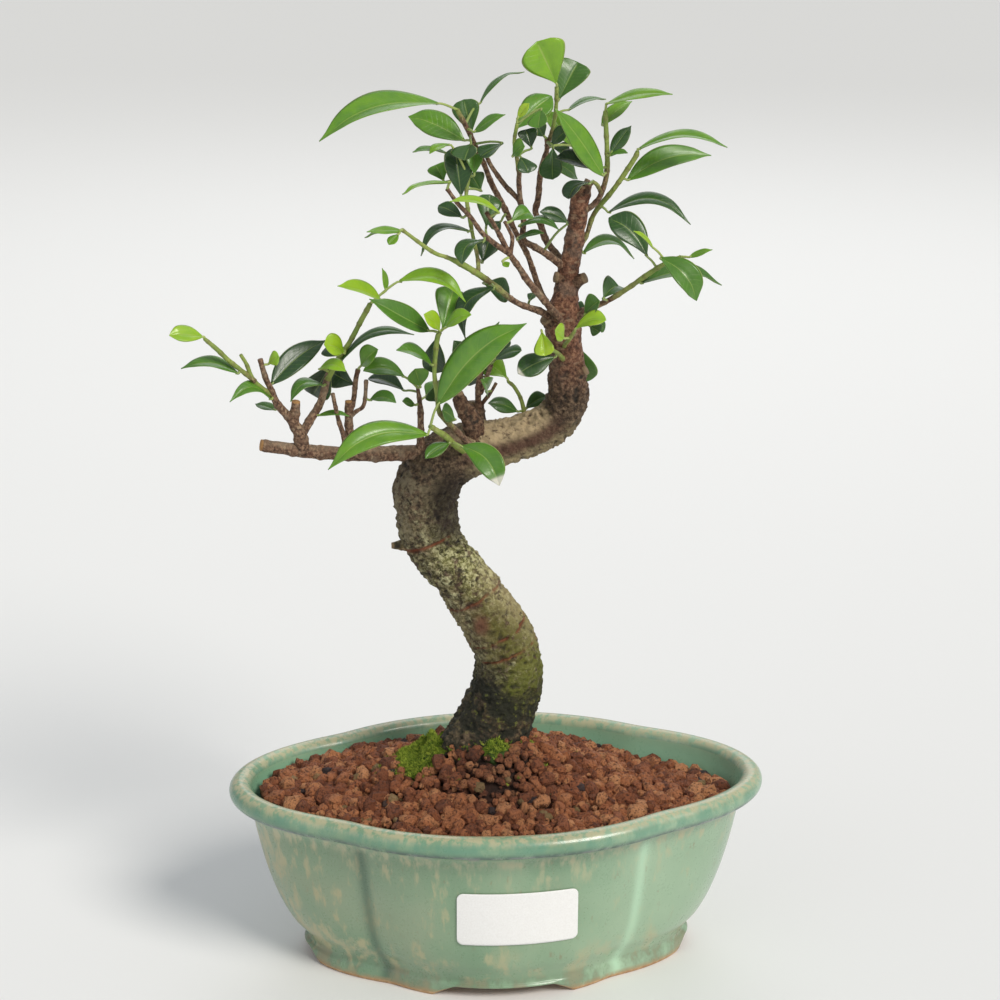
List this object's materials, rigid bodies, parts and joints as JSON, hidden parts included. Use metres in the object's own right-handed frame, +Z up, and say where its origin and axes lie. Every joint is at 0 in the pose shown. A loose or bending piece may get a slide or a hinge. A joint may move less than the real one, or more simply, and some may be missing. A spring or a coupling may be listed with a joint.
{
  "type": "bonsai tree in a pot",
  "caption": "Small S-curved bonsai with a bare trunk, glossy leaves on thin shoots, granular soil with moss, in a glazed quatrefoil pot on corner feet.",
  "frame": {"origin": "middle of the bounding box in x and y, at the height of the surface the pot stands on", "axes": "+Z up, +X to the right along the pot's long side, -Y is the front with the label"},
  "size_m": [0.2332, 0.1312, 0.3784],
  "materials": {
    "glaze": "glossy sea-green glaze, mottled",
    "paper": "matt",
    "lava_soil": "loose red-brown granules",
    "screen_plastic": "matt",
    "moss": "soft cushion",
    "bark": "rough bark",
    "leaf": "glossy leaves on green shoots"
  },
  "bodies": {
    "root": {"pot": "glaze", "label": "paper", "soil_bed": "lava_soil", "drain_screen_left": "screen_plastic", "drain_screen_right": "screen_plastic", "moss_left": "moss", "moss_front": "moss", "trunk": "bark", "left_branch": "bark", "bend_shoot": "leaf", "crown_branch_back": "leaf", "crown_branch_front": "leaf", "crown_branch_left": "bark", "crown_front_shoot": "leaf", "crown_left_shoot": "leaf", "cut_stub_shoot": "leaf", "cut_top_shoot": "leaf", "dead_twig": "bark", "far_left_shoot": "leaf", "forked_branch": "leaf", "forked_left_shoot": "leaf", "front_shoot": "leaf", "inner_fork_shoot": "leaf", "leader_shoot": "leaf", "left_fork_shoot": "leaf", "low_crown_branch": "leaf", "low_crown_shoot": "leaf", "middle_shoot": "leaf", "neck_back_shoot": "leaf", "neck_left_shoot": "leaf", "neck_right_shoot": "leaf", "right_branch": "leaf", "right_bud": "leaf", "snag_shoot": "leaf", "tall_left_shoot": "leaf", "top_right_shoot": "leaf", "upper_right_branch": "leaf", "upright_shoot": "leaf"}
  },
  "joints": []
}
